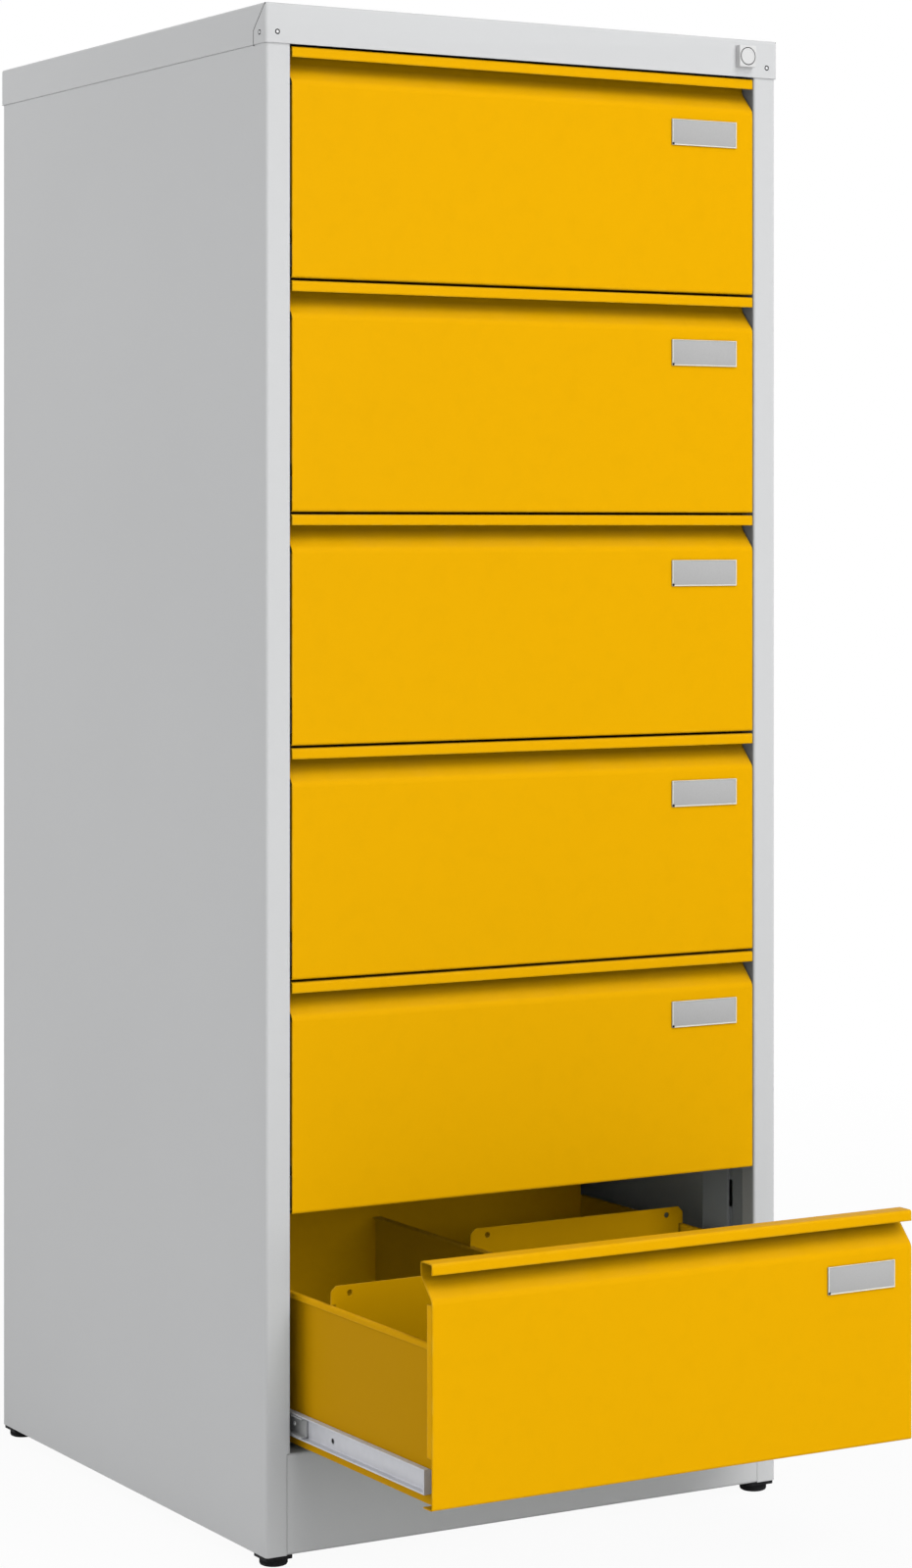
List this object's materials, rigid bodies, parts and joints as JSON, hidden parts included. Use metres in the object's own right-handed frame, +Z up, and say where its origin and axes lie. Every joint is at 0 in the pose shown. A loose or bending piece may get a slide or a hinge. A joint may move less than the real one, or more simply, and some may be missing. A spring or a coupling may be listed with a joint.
{
  "type": "card index cabinet",
  "caption": "Tall steel card index cabinet on levelling feet, with pull-out drawers in a stack, each holding rows of cards with sliding followers.",
  "frame": {"origin": "floor level, under the middle of the whole outline with the bottom drawer drawn out as in the picture", "axes": "+X the cabinet's right as one faces it, +Y towards its back, +Z up; drawers pull out along -Y"},
  "size_m": [0.5136, 0.772, 1.284],
  "materials": {
    "cabinet_paint": "satin light grey powder coat",
    "drawer_paint": "satin signal yellow powder coat",
    "slide_steel": "zinc-plated, dull",
    "inner_steel": "satin grey",
    "label_metal": "satin grey",
    "lock_metal": "satin light grey",
    "fastener_steel": "painted over",
    "foot_plastic": "matte black"
  },
  "bodies": {
    "cabinet": {"lid": "cabinet_paint", "rivets": "fastener_steel", "side_panel_right": "cabinet_paint", "side_panel_left": "cabinet_paint", "back_panel": "cabinet_paint", "base_pan": "cabinet_paint", "uprights": "inner_steel", "cabinet_slides": "slide_steel", "feet": "foot_plastic", "lock_housing": "lock_metal"},
    "lock_barrel": {"lock_barrel": "lock_metal"},
    "lock_bar": {"lock_bar": "inner_steel"},
    "drawer_1": {"drawer_1_front": "drawer_paint", "drawer_1_box": "drawer_paint", "drawer_1_divider": "drawer_paint", "drawer_1_label_holder": "label_metal", "drawer_1_slides": "slide_steel"},
    "middle_slides_1": {"drawer_1_middle_slides": "slide_steel"},
    "follower_left_1": {"drawer_1_follower_left": "drawer_paint"},
    "follower_right_1": {"drawer_1_follower_right": "drawer_paint"},
    "drawer_2": {"drawer_2_front": "drawer_paint", "drawer_2_box": "drawer_paint", "drawer_2_divider": "drawer_paint", "drawer_2_label_holder": "label_metal", "drawer_2_slides": "slide_steel"},
    "middle_slides_2": {"drawer_2_middle_slides": "slide_steel"},
    "follower_left_2": {"drawer_2_follower_left": "drawer_paint"},
    "follower_right_2": {"drawer_2_follower_right": "drawer_paint"},
    "drawer_3": {"drawer_3_front": "drawer_paint", "drawer_3_box": "drawer_paint", "drawer_3_divider": "drawer_paint", "drawer_3_label_holder": "label_metal", "drawer_3_slides": "slide_steel"},
    "middle_slides_3": {"drawer_3_middle_slides": "slide_steel"},
    "follower_left_3": {"drawer_3_follower_left": "drawer_paint"},
    "follower_right_3": {"drawer_3_follower_right": "drawer_paint"},
    "drawer_4": {"drawer_4_front": "drawer_paint", "drawer_4_box": "drawer_paint", "drawer_4_divider": "drawer_paint", "drawer_4_label_holder": "label_metal", "drawer_4_slides": "slide_steel"},
    "middle_slides_4": {"drawer_4_middle_slides": "slide_steel"},
    "follower_left_4": {"drawer_4_follower_left": "drawer_paint"},
    "follower_right_4": {"drawer_4_follower_right": "drawer_paint"},
    "drawer_5": {"drawer_5_front": "drawer_paint", "drawer_5_box": "drawer_paint", "drawer_5_divider": "drawer_paint", "drawer_5_label_holder": "label_metal", "drawer_5_slides": "slide_steel"},
    "middle_slides_5": {"drawer_5_middle_slides": "slide_steel"},
    "follower_left_5": {"drawer_5_follower_left": "drawer_paint"},
    "follower_right_5": {"drawer_5_follower_right": "drawer_paint"},
    "drawer_6": {"drawer_6_front": "drawer_paint", "drawer_6_box": "drawer_paint", "drawer_6_divider": "drawer_paint", "drawer_6_label_holder": "label_metal", "drawer_6_slides": "slide_steel"},
    "middle_slides_6": {"drawer_6_middle_slides": "slide_steel"},
    "follower_left_6": {"drawer_6_follower_left": "drawer_paint"},
    "follower_right_6": {"drawer_6_follower_right": "drawer_paint"}
  },
  "joints": [
    {"name": "lock_turn", "type": "hinge", "parent": "cabinet", "child": "lock_barrel", "pos_m": [0.22, -0.15423, 1.2685], "axis": [0, -1, 0], "range_deg": [0, 90]},
    {"name": "lock_bar_lift", "type": "slide", "parent": "cabinet", "child": "lock_bar", "axis": [0, 0, 1], "range_m": [0, 0.01414]},
    {"name": "drawer_1_pull", "type": "slide", "parent": "cabinet", "child": "drawer_1", "axis": [0, -1, 0], "range_m": [0, 0.44]},
    {"name": "middle_slides_1_travel", "type": "slide", "parent": "cabinet", "child": "middle_slides_1", "axis": [0, -1, 0], "range_m": [0, 0.22]},
    {"name": "follower_left_1_travel", "type": "slide", "parent": "drawer_1", "child": "follower_left_1", "axis": [0, 1, 0], "range_m": [-0.1655, 0.3085]},
    {"name": "follower_right_1_travel", "type": "slide", "parent": "drawer_1", "child": "follower_right_1", "axis": [0, 1, 0], "range_m": [-0.3233, 0.1507]},
    {"name": "drawer_2_pull", "type": "slide", "parent": "cabinet", "child": "drawer_2", "axis": [0, -1, 0], "range_m": [0, 0.44]},
    {"name": "middle_slides_2_travel", "type": "slide", "parent": "cabinet", "child": "middle_slides_2", "axis": [0, -1, 0], "range_m": [0, 0.22]},
    {"name": "follower_left_2_travel", "type": "slide", "parent": "drawer_2", "child": "follower_left_2", "axis": [0, 1, 0], "range_m": [-0.1655, 0.3085]},
    {"name": "follower_right_2_travel", "type": "slide", "parent": "drawer_2", "child": "follower_right_2", "axis": [0, 1, 0], "range_m": [-0.3233, 0.1507]},
    {"name": "drawer_3_pull", "type": "slide", "parent": "cabinet", "child": "drawer_3", "axis": [0, -1, 0], "range_m": [0, 0.44]},
    {"name": "middle_slides_3_travel", "type": "slide", "parent": "cabinet", "child": "middle_slides_3", "axis": [0, -1, 0], "range_m": [0, 0.22]},
    {"name": "follower_left_3_travel", "type": "slide", "parent": "drawer_3", "child": "follower_left_3", "axis": [0, 1, 0], "range_m": [-0.1655, 0.3085]},
    {"name": "follower_right_3_travel", "type": "slide", "parent": "drawer_3", "child": "follower_right_3", "axis": [0, 1, 0], "range_m": [-0.3233, 0.1507]},
    {"name": "drawer_4_pull", "type": "slide", "parent": "cabinet", "child": "drawer_4", "axis": [0, -1, 0], "range_m": [0, 0.44]},
    {"name": "middle_slides_4_travel", "type": "slide", "parent": "cabinet", "child": "middle_slides_4", "axis": [0, -1, 0], "range_m": [0, 0.22]},
    {"name": "follower_left_4_travel", "type": "slide", "parent": "drawer_4", "child": "follower_left_4", "axis": [0, 1, 0], "range_m": [-0.1655, 0.3085]},
    {"name": "follower_right_4_travel", "type": "slide", "parent": "drawer_4", "child": "follower_right_4", "axis": [0, 1, 0], "range_m": [-0.3233, 0.1507]},
    {"name": "drawer_5_pull", "type": "slide", "parent": "cabinet", "child": "drawer_5", "axis": [0, -1, 0], "range_m": [0, 0.44]},
    {"name": "middle_slides_5_travel", "type": "slide", "parent": "cabinet", "child": "middle_slides_5", "axis": [0, -1, 0], "range_m": [0, 0.22]},
    {"name": "follower_left_5_travel", "type": "slide", "parent": "drawer_5", "child": "follower_left_5", "axis": [0, 1, 0], "range_m": [-0.1655, 0.3085]},
    {"name": "follower_right_5_travel", "type": "slide", "parent": "drawer_5", "child": "follower_right_5", "axis": [0, 1, 0], "range_m": [-0.3233, 0.1507]},
    {"name": "drawer_6_pull", "type": "slide", "parent": "cabinet", "child": "drawer_6", "axis": [0, -1, 0], "range_m": [-0.2305, 0.2095]},
    {"name": "middle_slides_6_travel", "type": "slide", "parent": "cabinet", "child": "middle_slides_6", "axis": [0, -1, 0], "range_m": [-0.11525, 0.10475]},
    {"name": "follower_left_6_travel", "type": "slide", "parent": "drawer_6", "child": "follower_left_6", "axis": [0, 1, 0], "range_m": [-0.1655, 0.3085]},
    {"name": "follower_right_6_travel", "type": "slide", "parent": "drawer_6", "child": "follower_right_6", "axis": [0, 1, 0], "range_m": [-0.3233, 0.1507]}
  ],
  "couplings": [
    {"joint": "lock_turn", "follows": "lock_bar_lift", "rad_per_m": 111.07},
    {"joint": "middle_slides_1_travel", "follows": "drawer_1_pull", "ratio": 0.5},
    {"joint": "middle_slides_2_travel", "follows": "drawer_2_pull", "ratio": 0.5},
    {"joint": "middle_slides_3_travel", "follows": "drawer_3_pull", "ratio": 0.5},
    {"joint": "middle_slides_4_travel", "follows": "drawer_4_pull", "ratio": 0.5},
    {"joint": "middle_slides_5_travel", "follows": "drawer_5_pull", "ratio": 0.5},
    {"joint": "middle_slides_6_travel", "follows": "drawer_6_pull", "ratio": 0.5}
  ]
}
